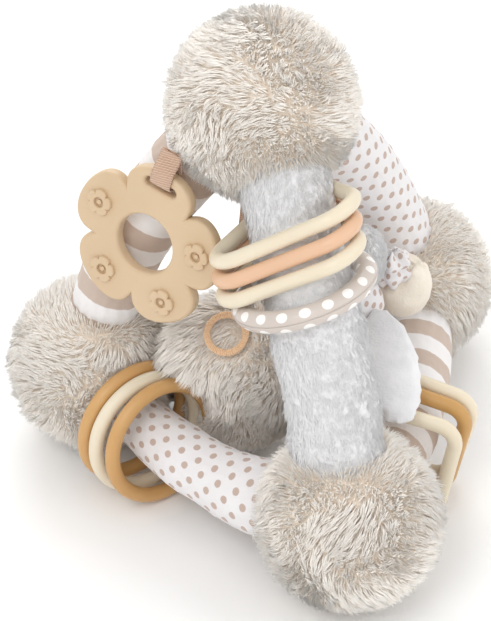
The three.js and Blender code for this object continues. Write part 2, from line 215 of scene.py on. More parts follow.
def dotted(name, spacing, radius):
    """Woven cotton with rows of small dots, every second row shifted."""
    paint = Paint(name, roughness=0.85, sheen=0.15)
    distances = []
    for shift in (0.0, 0.5):
        offsets = []
        for source in paint.cloth():
            repeats = paint.math("ADD", paint.math("DIVIDE", source, spacing), shift)
            offsets.append(paint.offset(repeats, spacing))
        distances.append(paint.reach(*offsets))
    frayed = paint.math("MULTIPLY", paint.noise(900, 1), DOT_EDGE)
    edge = paint.math("ADD", paint.math("MINIMUM", *distances), frayed)
    inside = paint.ramp(edge, radius + DOT_EDGE, radius)
    cloud = paint.mix(paint.noise(45), COTTON, tuple(0.9 * c for c in COTTON))
    paint.color(paint.mix(inside, cloud, DOT))
    return paint.bump(weave(paint), 0.25, 0.0003)


def striped(name, light, dark):
    """Woven cotton with wide bands across the bar."""
    paint = Paint(name, roughness=0.85, sheen=0.15)
    _, along = paint.cloth()
    share = paint.math("PINGPONG", paint.math("ADD", along, STRIPE_START), STRIPE_WIDTH)
    wobble = paint.math("MULTIPLY", paint.math("SUBTRACT", paint.noise(500, 1), 0.5), 0.6)
    middle = STRIPE_WIDTH / 2
    band = paint.ramp(paint.math("ADD", share, wobble), middle - STRIPE_EDGE, middle + STRIPE_EDGE)
    cloud = paint.mix(paint.noise(45), dark, tuple(0.88 * c for c in dark))
    paint.color(paint.mix(band, light, cloud))
    return paint.bump(weave(paint), 0.25, 0.0003)


def short_plush(name, color, shade, grain=420, depth=0.0012):
    """Cloth with a very short nap. grain is how fine it is."""
    paint = Paint(name, roughness=0.95, sheen=0.5, specular=0.1)
    paint.color(paint.mix(paint.ramp(paint.noise(70, 4), 0.35, 0.75), color, shade))
    return paint.bump(paint.noise(grain, 5), 0.7, depth)


def plastic(name, color, shade, roughness=0.36):
    """Moulded plastic: a satin skin with a faint cloud, and colour that glows a little at thin edges."""
    paint = Paint(name, specular=0.5)
    paint.set("Subsurface Weight", 0.12)
    paint.set("Subsurface Radius", (0.004, 0.0025, 0.0015))
    paint.color(paint.mix(paint.ramp(paint.noise(25, 3), 0.3, 0.8), color, shade))
    rough = paint.ramp(paint.noise(180, 4), 0.0, 1.0, roughness - 0.06, roughness + 0.08)
    paint.link(rough, paint.shader.inputs["Roughness"])
    return paint.bump(paint.noise(260, 3), 0.12, 0.0003)


def grosgrain(name, color, shade):
    """Ribbon with slanted ribs, with painted shade in the grooves between them."""
    paint = Paint(name, roughness=0.6, sheen=0.3)
    across, along = paint.cloth()
    slanted = paint.math("ADD", along, paint.math("MULTIPLY", across, RIB_SLANT))
    ribs = paint.math("SINE", paint.math("MULTIPLY", slanted, RIB_TURN))
    # Darker where the ribs are low: painted shade in the grooves.
    paint.color(paint.mix(paint.ramp(ribs, -0.4, 0.9), shade, color))
    return paint.bump(ribs, 0.8, 0.0005)


def strand(name, color, sheen=0.3):
    """One tone of pile. It is the same all over, because a strand is too thin to paint."""
    return Paint(name, roughness=0.8, sheen=sheen, specular=0.15, color=color).material


def embroidery():
    """Shiny satin stitches."""
    paint = Paint("embroidery", roughness=0.45, sheen=0.3, specular=0.4)
    paint.color(paint.mix(paint.noise(600, 2), (0.87, 0.62, 0.41), (0.76, 0.49, 0.28)))
    return paint.bump(paint.noise(1500, 1), 0.3, 0.0002)


SHELL_DOT_PITCH = 11.5
SHELL_ROW_PITCH = 9.4
SHELL_DOT = 3.0


def rattle_shell():
    """Milky hollow plastic with rows of printed dots, from the ring's own coordinates."""
    paint = Paint("rattle_shell", roughness=0.3, specular=0.5)
    paint.set("Subsurface Weight", 0.25)
    paint.set("Subsurface Radius", (0.006, 0.005, 0.004))
    across, along = paint.cloth()
    rows = paint.math("DIVIDE", across, SHELL_ROW_PITCH)
    shift = paint.math("MULTIPLY", paint.math("FLOOR", rows), 0.5)
    dots = paint.math("ADD", paint.math("DIVIDE", along, SHELL_DOT_PITCH), shift)
    reach = paint.reach(paint.offset(dots, SHELL_DOT_PITCH), paint.offset(rows, SHELL_ROW_PITCH))
    inside = paint.ramp(reach, SHELL_DOT, 0.9 * SHELL_DOT)
    cloud = paint.mix(paint.noise(60), (0.62, 0.555, 0.51), (0.56, 0.495, 0.45))
    paint.color(paint.mix(inside, cloud, (0.88, 0.86, 0.84)))
    return paint.bump(paint.noise(300), 0.08, 0.0002)


# Darkest first. The root and middle tones, darker and warmer than the tips, are painted shade deep in the
# pile.
FUR = (
    strand("fur_root", (0.93, 0.79, 0.66), 0.2),
    strand("fur_middle", (0.97, 0.885, 0.785), 0.2),
    strand("fur_tip", (0.985, 0.93, 0.86)),
    strand("fur_pale", (0.99, 0.955, 0.90)),
)
# Darkest first, like the fur: the darker tones go low on each strand, as painted shade deep in the pile.
WHITE_PILE = (
    strand("white_pile_0", (0.75, 0.75, 0.76)),
    strand("white_pile_1", (0.78, 0.78, 0.79)),
    strand("white_pile_2", (0.80, 0.80, 0.81)),
    strand("white_pile_3", (0.83, 0.83, 0.835)),
)
# The backing cloth under the pile is real, but its tan, darker and warmer than the fur, is painted shade for
# the gaps between strands.
BACKING = short_plush("fur_backing", (0.89, 0.79, 0.68), (0.83, 0.72, 0.61))
WHITE_PLUSH = short_plush("white_plush", (0.77, 0.77, 0.78), (0.72, 0.72, 0.735))
EAR_PLUSH = short_plush("ear_plush", (0.78, 0.78, 0.795), (0.68, 0.68, 0.70), 700, 0.0006)
VELBOA = short_plush("velboa", (0.84, 0.775, 0.68), (0.75, 0.68, 0.575), 800, 0.0006)
FIBRE = short_plush("stuffing_fibre", (0.86, 0.85, 0.82), (0.75, 0.73, 0.7), 260, 0.002)
DOTS = dotted("dotted_cotton", 13.0, 2.15)
SMALL_DOTS = dotted("dotted_cotton_small", 10.6, 1.95)
STRIPES = striped("striped_cotton", (0.83, 0.81, 0.81), (0.60, 0.49, 0.42))
RIBBON = grosgrain("ribbon", (0.80, 0.56, 0.42), (0.62, 0.40, 0.28))
CREAM = plastic("cream_plastic", (0.76, 0.68, 0.535), (0.72, 0.635, 0.485))
PEACH = plastic("peach_plastic", (0.73, 0.475, 0.315), (0.69, 0.44, 0.285))
TAN = plastic("tan_plastic", (0.60, 0.35, 0.135), (0.54, 0.3, 0.11))
OCHRE = plastic("ochre_plastic", (0.56, 0.32, 0.11), (0.5, 0.28, 0.09))
SAND = plastic("sand_plastic", (0.625, 0.47, 0.305), (0.59, 0.435, 0.275), 0.42)
BEAD = plastic("bead_plastic", (0.86, 0.83, 0.76), (0.8, 0.76, 0.7), 0.25)
EMBROIDERY = embroidery()
SHELL = rattle_shell()

FLOOR = 6
floor = bpy.data.objects.new("floor", bpy.data.meshes.new("floor"))
floor_corners = [(FLOOR * x, FLOOR * y, 0) for x, y in ((-1, -1), (1, -1), (1, 1), (-1, 1))]
floor.data.from_pydata(floor_corners, [], [(0, 1, 2, 3)])
scene.collection.objects.link(floor)
floor_paint = Paint("floor", roughness=0.9, specular=0.1)
floor_paint.color(floor_paint.mix(floor_paint.noise(3), (0.93, 0.93, 0.93), (0.9, 0.9, 0.9)))
floor.data.materials.append(floor_paint.material)


# ---- pieces ----

def add_piece(name, mesh, body, materials):
    """Link a mesh as a smooth piece that rides a body. materials: one, or a tuple by face."""
    piece = bpy.data.objects.new(name, mesh)
    scene.collection.objects.link(piece)
    for material in materials if isinstance(materials, tuple) else (materials,):
        mesh.materials.append(material)
    mesh.polygons.foreach_set("use_smooth", [True] * len(mesh.polygons))
    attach(piece, body)
    return piece


def mesh_of(name, points, faces, uv=None):
    """A closed mesh with its faces outward. uv: the cloth coordinates of each face's corners."""
    mesh = bpy.data.meshes.new(name)
    mesh.from_pydata([tuple(p) for p in points], [], [tuple(f) for f in faces])
    if uv is not None:
        layer = mesh.uv_layers.new(name="cloth")
        corners = [corner for face in uv for corner in face]
        layer.data.foreach_set("uv", np.asarray(corners, dtype=np.float32).ravel())
    mesh.update()
    work = bmesh.new()
    work.from_mesh(mesh)
    if work.calc_volume(signed=True) < 0:
        mesh.flip_normals()
    work.free()
    return mesh


def vectors_of(mesh, kind="co"):
    """The vertices' places ("co") or directions ("normal"), a row each."""
    flat = np.empty(len(mesh.vertices) * 3, dtype=np.float32)
    mesh.vertices.foreach_get(kind, flat)
    return flat.reshape(-1, 3).astype(float)


def set_points(mesh, points):
    mesh.vertices.foreach_set("co", points.astype(np.float32).ravel())
    mesh.update()


def unit(vectors):
    return vectors / (np.linalg.norm(vectors, axis=-1, keepdims=True) + 1e-12)


def baked(holder):
    """The mesh that an object's modifiers make."""
    graph = bpy.context.evaluated_depsgraph_get()
    return bpy.data.meshes.new_from_object(holder.evaluated_get(graph))


def centre_of(node):
    low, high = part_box(node)
    return (Vector(low) + Vector(high)) / 2


def waves(seed, count, longest, shortest):
    """A smooth random field: points in, three numbers a point out."""
    rng = np.random.default_rng(seed)
    size = np.geomspace(longest, shortest, count)
    way = rng.normal(size=(count, 3, 3))
    way /= np.linalg.norm(way, axis=2, keepdims=True)
    way *= (2 * math.pi / size)[:, None, None]
    phase = rng.uniform(0, 2 * math.pi, size=(count, 3))
    share = (size / longest) ** 0.7

    def field(points):
        total = np.zeros((len(points), 3))
        for k in range(count):
            total += share[k] * np.sin(points @ way[k].T + phase[k])
        return total / share.sum()
    return field


def nearest(points, targets):
    """Distance to, and index of, the nearest target."""
    tree = KDTree(len(targets))
    for index, target in enumerate(targets):
        tree.insert(target, index)
    tree.balance()
    found = [tree.find(point) for point in points]
    return np.array([f[2] for f in found]), np.array([f[1] for f in found])


# ---- bars: the same bows as the CAD ----

CORNER = {name: centre_of(f"ball_{name}_stuffing") for name in ("top", "left", "right", "front")}
MIDDLE = sum(CORNER.values(), Vector()) / len(CORNER)
BOW = 20.6 * MM
TUBE_INSET = 31 * MM
PUCKERS = 17
PUCKER_REACH = 18 * MM
PRESS_ROUNDS = 4
PRESS_ROOM = 0.7 * MM
# the rings' own sizes, in millimetres
ROD = 4.3
SHELL_OUTER = 6.0
SHELL_INNER = 4.6
SHELL_ROOM = 0.3


class Bow:
    """An arc between two ball centres that bows away from the middle of the toy."""

    def __init__(self, first, second):
        start, end = CORNER[first], CORNER[second]
        middle = (start + end) / 2
        chord = (end - start).length
        self.along = (end - start).normalized()
        out = middle - MIDDLE
        self.out = (out - self.along * out.dot(self.along)).normalized()
        self.radius = (chord * chord / 4 + BOW * BOW) / (2 * BOW)
        self.centre = middle + self.out * (BOW - self.radius)
        self.half = math.asin(chord / 2 / self.radius)
        self.length = 2 * self.half * self.radius

    def at(self, t):
        """Point, outward, lengthwise and sideways directions."""
        angle = (2 * t - 1) * self.half
        out = self.out * math.cos(angle) + self.along * math.sin(angle)
        ahead = self.along * math.cos(angle) - self.out * math.sin(angle)
        return self.centre + out * self.radius, out, ahead, out.cross(ahead)


# each bar: its bow, radii along it in millimetres, material, slot, and how crumpled its cloth is
BARS = {
    "top_front": (Bow("top", "front"), [24, 25, 25.5, 25.5, 25], WHITE_PLUSH, "white_plush", 1.9),
    "top_left": (Bow("top", "left"), [22, 21.5, 21, 20, 18.5], STRIPES, "striped_cotton", 0.7),
    "top_right": (Bow("top", "right"), [22.5, 23, 23, 23, 22], DOTS, "dotted_cotton", 0.7),
    "left_front": (Bow("left", "front"), [15.5, 16.2, 18.5, 21.8, 22.5], DOTS, "dotted_cotton", 0.7),
    "right_front": (Bow("right", "front"), [23.5, 22.8, 21.3, 20, 18.6], STRIPES, "striped_cotton", 0.7),
    "left_right": (Bow("left", "right"), [21, 21.5, 21.5, 21.5, 21], WHITE_PLUSH, "white_plush", 1.0),
}


def profile(radii, t):
    """Radius at share t of a bar, eased from each given radius to the next."""
    place = min(max(t, 0), 1) * (len(radii) - 1)
    step = min(int(place), len(radii) - 2)
    share = place - step
    share = share * share * (3 - 2 * share)
    return radii[step] * (1 - share) + radii[step + 1] * share


def tube_faces(sides, steps, lengths, girth):
    """Faces and cloth coordinates of a tube, and of the fans that close its ends."""
    faces, uv = [], []
    for step in range(steps):
        low, high = lengths[step], lengths[step + 1]
        for k in range(sides):
            near, far = step * sides, (step + 1) * sides
            after = (k + 1) % sides
            faces.append((near + k, near + after, far + after, far + k))
            here, there = girth * k / sides, girth * (k + 1) / sides
            uv.append(((here, low), (there, low), (there, high), (here, high)))
    first_tip = (steps + 1) * sides
    for tip, row in ((first_tip, 0), (first_tip + 1, steps * sides)):
        for k in range(sides):
            pair = (row + k, row + (k + 1) % sides)
            faces.append((tip, *pair) if row else (tip, *pair[::-1]))
            uv.append(((0, 0),) * 3)
    return faces, uv


def tube(name, bow, radii, crumple, seed):
    """A stuffed cloth tube with puckers, soft dents and a sewn seam on its inner side."""
    sides, steps = (128, 180) if FINE else (64, 90)
    soft = waves(seed, 9, 0.06, 0.010)
    tight = waves(seed + 50, 7, 0.014, 0.004)
    inset = TUBE_INSET / bow.length
    shares = [inset + (1 - 2 * inset) * step / steps for step in range(steps + 1)]
    rows = []
    for share in shares:
        centre, out, _, side = bow.at(share)
        for k in range(sides):
            angle = 2 * math.pi * k / sides
            rows.append((*(out * math.cos(angle) + side * math.sin(angle)), *centre))
    away, centres = np.hsplit(np.array(rows), 2)
    turn = np.tile(2 * math.pi * np.arange(sides) / sides, steps + 1)
    length = np.repeat(shares, sides)
    base = np.array([profile(radii, share) for share in shares]) * MM
    radius = np.repeat(base, sides)

    rest = centres + away * radius[:, None]
    drift = soft(rest)
    dent = 1.3 * drift[:, 0] + 0.7 * np.abs(tight(rest)[:, 1]) - 0.5
    end = np.minimum(length - inset, 1 - inset - length) * bow.length / PUCKER_REACH
    pucker = 0.6 * np.sin(turn * PUCKERS + 4 * drift[:, 2]) * np.exp(-np.clip(end, 0, 9))
    from_seam = np.abs(turn - math.pi) * radius / MM
    groove = 0.35 * np.exp(-((from_seam - 2.2) / 1.1) ** 2) - 0.9 * np.exp(-(from_seam / 0.9) ** 2)
    radius = radius + (dent * crumple + pucker + groove) * MM
    for _ in range(PRESS_ROUNDS):
        reach, index = nearest(centres + away * radius[:, None], PRESS_POINTS)
        radius -= np.clip(PRESS_RADIUS[index] + PRESS_ROOM - reach, 0, 2 * MM)

    lengths = [bow.length * share / MM for share in shares]
    faces, uv = tube_faces(sides, steps, lengths, 2 * math.pi * float(base.mean()) / MM)
    ends = [tuple(bow.at(share)[0]) for share in (inset, 1 - inset)]
    return mesh_of(name, np.vstack([centres + away * radius[:, None], ends]), faces, uv)


# ---- rings ----

def ring_frame(bow, at, slip, tilt, slid=0.0):
    """A ring's own frame: its share along the bow, offset in millimetres, tilt, and slide in degrees."""
    point, out, ahead, side = bow.at(at + math.radians(slid) / (2 * bow.half))
    basis = Matrix((side, out, ahead)).transposed().to_4x4()
    turn = Matrix.Rotation(math.radians(tilt[0]), 4, "X")
    turn = turn @ Matrix.Rotation(math.radians(tilt[1]), 4, "Y")
    turn = turn @ Matrix.Rotation(math.radians(tilt[2]), 4, "Z")
    return Matrix.Translation(point) @ basis @ Matrix.Translation((slip[0] * MM, slip[1] * MM, 0)) @ turn


def heading(turn):
    return Vector((math.cos(turn), math.sin(turn)))


def rounded_line(corners, side, corner_radius, steps):
    """Middle line of a rod bent into a polygon with round corners: points, then outward directions."""
    reach = side / (2 * math.sin(math.pi / corners))
    half_turn = math.pi / corners
    line = []
    for corner in range(corners):
        middle = math.pi / 2 + corner * 2 * half_turn
        for step in range(steps + 1):
            out = heading(middle + (2 * step / steps - 1) * half_turn)
            line.append((heading(middle) * reach + out * corner_radius, out))
        out = heading(middle + half_turn)
        start = line[-1][0]
        end = heading(middle + 2 * half_turn) * reach + out * corner_radius
        line += [(start.lerp(end, k / 8), out) for k in range(1, 8)]
    return line


def round_line(radius, steps):
    ways = [heading(2 * math.pi * k / steps) for k in range(steps)]
    return [(way * radius, way) for way in ways]


def rod(name, line, section, place):
    """A closed rod. section: reach outwards and height, with its place round the rod."""
    points, faces, uv = [], [], []
    length = [0.0]
    for k in range(len(line)):
        length.append(length[-1] + (line[(k + 1) % len(line)][0] - line[k][0]).length)
    for point, out in line:
        for reach, height, _ in section:
            flat = point + out * reach
            points.append(place @ Vector((flat.x * MM, flat.y * MM, height * MM)))
    count = len(section)
    for i in range(len(line)):
        nxt = (i + 1) % len(line)
        for k in range(count):
            after = (k + 1) % count
            faces.append((i * count + k, nxt * count + k, nxt * count + after, i * count + after))
            low, high = section[k][2], section[after][2] if after else section[k][2]
            uv.append(((low, length[i]), (low, length[i + 1]), (high, length[i + 1]), (high, length[i])))
    return mesh_of(name, points, faces, uv)


def round_section(radius, sides, parting):
    """A rod's section, with a fine parting line where the mould's halves meet."""
    section = []
    for k in range(sides):
        angle = 2 * math.pi * k / sides
        grow = radius + (parting if abs(math.sin(angle)) < 0.12 else 0)
        section.append((grow * math.cos(angle), grow * math.sin(angle), angle * radius))
    return section


TRIANGLE = rounded_line(3, side=47.4, corner_radius=16.9, steps=14)
SQUARE = rounded_line(4, side=40, corner_radius=12.4, steps=12)
CIRCLE = round_line(radius=34.4, steps=120)
TF, LF, RF = BARS["top_front"][0], BARS["left_front"][0], BARS["right_front"][0]
# each ring: its bar, middle line, share along the bar, offset, tilt, material and slot
RINGS = {
    "triangle_upper": (TF, TRIANGLE, 0.2726, (-2.5, 0.1), (18.7, 17.5, -155.4), CREAM, "cream_plastic"),
    "triangle_middle": (TF, TRIANGLE, 0.3167, (-2.9, -0.8), (18.3, 18.3, -151.6), PEACH, "peach_plastic"),
    "triangle_lower": (TF, TRIANGLE, 0.3602, (-2.8, -1.1), (17.9, 18.7, -149.8), CREAM, "cream_plastic"),
    "round_back": (LF, CIRCLE, 0.2365, (0.4, 2.9), (6.2, 6.4, 1), TAN, "tan_plastic"),
    "round_middle": (LF, CIRCLE, 0.291, (0.1, 2.4), (4.7, 10.4, 0), CREAM, "cream_plastic"),
    "round_front": (LF, CIRCLE, 0.3465, (-0.9, 0.4), (5.6, 11.2, 0), TAN, "tan_plastic"),
    "square_back": (RF, SQUARE, 0.5395, (-3, 0.9), (2, 6.1, 161), CREAM, "cream_plastic"),
    "square_middle": (RF, SQUARE, 0.583, (-1.5, 0.5), (0, 7, 163), OCHRE, "ochre_plastic"),
    "square_front": (RF, SQUARE, 0.679, (0.5, 0.3), (-4.7, 3.1, 164.5), CREAM, "cream_plastic"),
}
TRIANGLE_SLIDES = (1.5, 3.0, 4.5)
RATTLE_SLIDES = (1, 2, 3, 4, 5, 6, 7, 8, 8.5)
RATTLE_SEAT = (TF, 0.4385, (-2.5, -0.8), (18.5, 10, 0))
RATTLE_RADIUS = 34.8
RATTLE_PRESS = round_line(RATTLE_RADIUS, 149)


def placed(line, place):
    """The points of a ring's middle line in the world."""
    return [place @ Vector((point.x * MM, point.y * MM, 0)) for point, _ in line]


rods_at_rest, rods_slid = [], []
for name, (bow, line, at, slip, tilt, material, slot) in RINGS.items():
    place = ring_frame(bow, at, slip, tilt)
    mesh = rod(f"ring_{name}_look", line, round_section(ROD, sides=28, parting=0.08), place)
    piece = add_piece(f"ring_{name}_look", mesh, name, material)
    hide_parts(f"ring_{name}")
    rods_at_rest += placed(line, place)
    if bow is TF:
        for degrees in TRIANGLE_SLIDES:
            rods_slid += placed(line, ring_frame(bow, at, slip, tilt, degrees))


def shell_section(outer, inner, lift, lip, steps=16):
    """Half of a hollow tube, with a small lip where the two halves meet."""
    arc = []
    for k in range(steps + 1):
        angle = math.pi * k / steps
        grow = outer + (lip if k in (0, steps) else 0)
        arc.append((grow * math.cos(angle), lift + outer * math.sin(angle), angle * outer))
    back = []
    for k in range(steps, -1, -1):
        angle = math.pi * k / steps
        back.append((inner * math.cos(angle), lift + inner * math.sin(angle), angle * outer))
    return arc + back


rattle_place = ring_frame(*RATTLE_SEAT)
for half, sign in (("lower", 1), ("upper", -1)):
    arcs = shell_section(SHELL_OUTER, SHELL_INNER, lift=0.1, lip=0.25)
    section = [(reach, sign * height, place) for reach, height, place in arcs]
    mesh = rod(f"rattle_{half}_look", round_line(RATTLE_RADIUS, 150), section[::sign], rattle_place)
    piece = add_piece(f"rattle_{half}_look", mesh, "rattle_ring", SHELL)
    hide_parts(f"rattle_ring_{half}_half")

# The pile is short where the rings rest. The cloth is pressed in all along their slides.
rattle_at_rest = placed(RATTLE_PRESS, rattle_place)
rattle_slid = []
for degrees in RATTLE_SLIDES:
    rattle_slid += placed(RATTLE_PRESS, ring_frame(*RATTLE_SEAT, degrees))
RING_POINTS = np.array([tuple(p) for p in rods_at_rest + rattle_at_rest])
rods, rattles = rods_at_rest + rods_slid, rattle_at_rest + rattle_slid
PRESS_POINTS = np.array([tuple(p) for p in rods + rattles])
PRESS_RADIUS = np.array([ROD] * len(rods) + [SHELL_OUTER + SHELL_ROOM] * len(rattles)) * MM

for seed, (name, (bow, radii, material, slot, crumple)) in enumerate(BARS.items(), 10):
    mesh = tube(f"bar_{name}_cloth", bow, radii, crumple, seed)
    piece = add_piece(mesh.name, mesh, "frame", material)
    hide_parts(f"bar_{name}_sleeve")


# ---- flower teether ----

FACE = Vector((-0.751, -0.633, 0.189)).normalized()
FLOWER_SIDE = Vector((0.258, -0.019, 0.966)).cross(FACE).normalized()
FLOWER_UP = FACE.cross(FLOWER_SIDE)
FLOWER_AT = Vector((-0.0804, 0.0323, 0.1689))
FLOWER = Matrix.Translation(FLOWER_AT) @ Matrix((FLOWER_SIDE, FLOWER_UP, FACE)).transposed().to_4x4()


# the flower's own sizes, in millimetres
PETALS = 5
PLATE_TIP, PLATE_VALLEY, PLATE_HOLE = 47, 30.5, 17.6
PLATE_THICK, PLATE_EDGE = 8, 2.2
EMBLEM_UP, EMBLEM_OUT = 34, 4.5


def petal_outline(tip, valley, steps):
    """Round petals, from the reach of a tip and of a valley."""
    outline = []
    for i in range(PETALS * steps):
        share = 2 * (i % steps) / steps - 1
        radius = valley + (tip - valley) * math.sqrt(1 - min(abs(share), 0.985) ** 3)
        angle = math.pi / 2 + (2 * i / steps - 1) * math.pi / PETALS
        outline.append((radius * math.cos(angle), radius * math.sin(angle)))
    return outline


def round_outline(radius, steps=48):
    turns = [2 * math.pi * k / steps for k in range(steps)]
    return [(radius * math.cos(turn), radius * math.sin(turn)) for turn in turns]


def slot_outline(distance, length, width):
    """A slot with round ends, at a distance up from the middle."""
    reach = (length - width) / 2
    outline = []
    for end, turn in ((reach, 0), (-reach, math.pi)):
        for k in range(16):
            angle = -math.pi / 2 + math.pi * k / 15 + turn
            outline.append((end + width / 2 * math.cos(angle), distance + width / 2 * math.sin(angle)))
    return outline


def plate(name, outlines, thickness, edge, place):
    """A flat moulded plate with rounded edges, from an outer line and the lines of its holes."""
    curve = bpy.data.curves.new(name, "CURVE")
    curve.dimensions = "2D"
    curve.fill_mode = "BOTH"
    curve.extrude = (thickness / 2 - edge) * MM
    curve.bevel_depth = edge * MM
    curve.bevel_resolution = 4
    curve.offset = -edge * MM
    for outline in outlines:
        spline = curve.splines.new("POLY")
        spline.points.add(len(outline) - 1)
        for point, (x, y) in zip(spline.points, outline):
            point.co = (x * MM, y * MM, 0, 1)
        spline.use_cyclic_u = True
    holder = bpy.data.objects.new(name + "_line", curve)
    scene.collection.objects.link(holder)
    mesh = baked(holder)
    bpy.data.objects.remove(holder)
    mesh.transform(place)
    mesh.name = name
    mesh.materials.clear()
    return mesh


def joined(name, meshes):
    """One mesh from several, with doubled vertices merged."""
    work = bmesh.new()
    for mesh in meshes:
        work.from_mesh(mesh)
    bmesh.ops.remove_doubles(work, verts=work.verts, dist=1e-6)
    made = bpy.data.meshes.new(name)
    work.to_mesh(made)
    work.free()
    return made


ribbon_slot = slot_outline(distance=37.5, length=20, width=5)
outlines = [petal_outline(PLATE_TIP, PLATE_VALLEY, 40), round_outline(PLATE_HOLE), ribbon_slot]
flower_parts = [plate("flower_plate", outlines, PLATE_THICK, PLATE_EDGE, FLOWER)]
rim = [petal_outline(7.8, 5.2, 16), round_outline(3.0, 24)]
for petal in range(1, PETALS):
    turn = Matrix.Rotation(petal * 2 * math.pi / PETALS, 4, "Z")
    spot = FLOWER @ turn @ Matrix.Translation((0, EMBLEM_UP * MM, EMBLEM_OUT * MM))
    flower_parts.append(plate(f"raised_{petal}", rim, 3.2, 0.8, spot))
    flower_parts.append(plate(f"button_{petal}", [round_outline(1.5, 20)], 1.6, 0.5, spot))
flower = add_piece("flower_look", joined("flower_look", flower_parts), "flower", SAND)
flower.data.set_sharp_from_angle(angle=math.radians(32))
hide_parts("flower_teether")


# ---- sheets: ribbons ----

RIBBON_THICK = 0.7 * MM
RIBBON_CUP = 0.35 * MM


def strip(name, path, across, width):
    """A flat band along a path, a little cupped, as a thin closed sheet. Also gives its length."""
    points, faces, uv = [], [], []
    columns = 8
    row = 2 * (columns + 1)
    run = [0.0]
    for a, b in zip(path, path[1:]):
        run.append(run[-1] + (b - a).length)
    for i, point in enumerate(path):
        ahead = (path[min(i + 1, len(path) - 1)] - path[max(i - 1, 0)]).normalized()
        wide = (across - ahead * across.dot(ahead)).normalized()
        up = ahead.cross(wide)
        for layer in (0.5, -0.5):
            for c in range(columns + 1):
                cup = -RIBBON_CUP * (2 * c / columns - 1) ** 2
                points.append(point + wide * width * (c / columns - 0.5) + up * (RIBBON_THICK * layer + cup))
    loop = list(range(columns + 1)) + list(range(row - 1, columns, -1))
    for i in range(len(path) - 1):
        low, high = run[i] / MM, run[i + 1] / MM
        for a, b in zip(loop, loop[1:] + loop[:1]):
            faces.append((i * row + a, i * row + b, (i + 1) * row + b, (i + 1) * row + a))
            here, there = (width / MM * (q % (columns + 1)) / columns for q in (a, b))
            uv.append(((here, low), (there, low), (there, high), (here, high)))
    for i in (0, len(path) - 1):
        for c in range(columns):
            near, far = i * row + c, i * row + columns + 1 + c
            corner = [near, near + 1, far + 1, far]
            faces.append(corner if i else corner[::-1])
            uv.append(((0, 0),) * 4)
    return mesh_of(name, points, faces, uv), run[-1]


def smooth_path(corners, steps):
    """A Catmull-Rom line through the corners."""
    ends = [corners[0] * 2 - corners[1], *corners, corners[-1] * 2 - corners[-2]]
    path = []
    for a, b, c, d in zip(ends, ends[1:], ends[2:], ends[3:]):
        for k in range(steps):
            t = k / steps
            bend = (2 * a - 5 * b + 4 * c - d) * t * t + (3 * b - a - 3 * c + d) * t ** 3
            path.append(0.5 * ((2 * b) + (c - a) * t + bend))
    return path + [corners[-1]]


# one leg of the flower's ribbon seen from its edge, in millimetres: out from the plate and up it
LEG = [(1.0, 59.0), (1.6, 54.0), (4.9, 48.0), (5.3, 43.0), (4.6, 38.9)]
FLOWER_RIBBON_WIDTH = 13 * MM
loop = LEG + [(0.0, 37.0)] + [(-out, up) for out, up in reversed(LEG)]
path = smooth_path([FLOWER @ Vector((0, up * MM, out * MM)) for out, up in loop], 8)
mesh, length = strip("flower_ribbon_look", path, FLOWER_SIDE, FLOWER_RIBBON_WIDTH)
ribbon = add_piece("flower_ribbon_look", mesh, "frame", RIBBON)
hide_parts("flower_ribbon")

HANGER_WIDTH = 10 * MM
HANGER_INSET = Vector((5, 0.6, 0)) * MM
hanger_low, hanger_high = (Vector(corner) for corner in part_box("animal_hanging_ribbon"))
start = hanger_high - HANGER_INSET
end = hanger_low + HANGER_INSET
path = [start.lerp(end, k / 40) for k in range(41)]
mesh, length = strip("animal_ribbon_look", path, Vector((1, 0.1, 0)), HANGER_WIDTH)
hanger = add_piece("animal_ribbon_look", mesh, "animal", RIBBON)
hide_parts("animal_hanging_ribbon")


# ---- fur ----

STRANDS = 19500 if FINE else 9000
BALL_CLUMPS = 1000
BODY_CLUMPS = 900
FLOOR_ROOM = 0.25 * MM
ROOT_DEPTH = 0.6 * MM
CLUMP_HEIGHTS = (0.72, 1.0)
STRAND_HEIGHTS = (0.62, 1.0)
CLUMP_STRAY = 0.12
STRAND_STRAY = 0.1
# share along a strand, and its thickness there
STRAND_SECTIONS = ((0.0, 1.0), (0.52, 0.86))
# Slots of a pile's tones, darkest first; the root and middle tones are painted shade.
SHADED_ROOT_TONE, SHADED_MIDDLE_TONE, TIP_TONE, PALE_TONE = range(4)


def scattered(count, stray, seed):
    """Even directions over a ball, each of them a little astray."""
    k = np.arange(count) + 0.5
    polar = np.arccos(1 - 2 * k / count)
    turn = math.pi * (1 + 5 ** 0.5) * k
    even = np.stack([np.cos(turn) * np.sin(polar), np.sin(turn) * np.sin(polar), np.cos(polar)], axis=1)
    return unit(even + np.random.default_rng(seed).normal(size=even.shape) * stray)


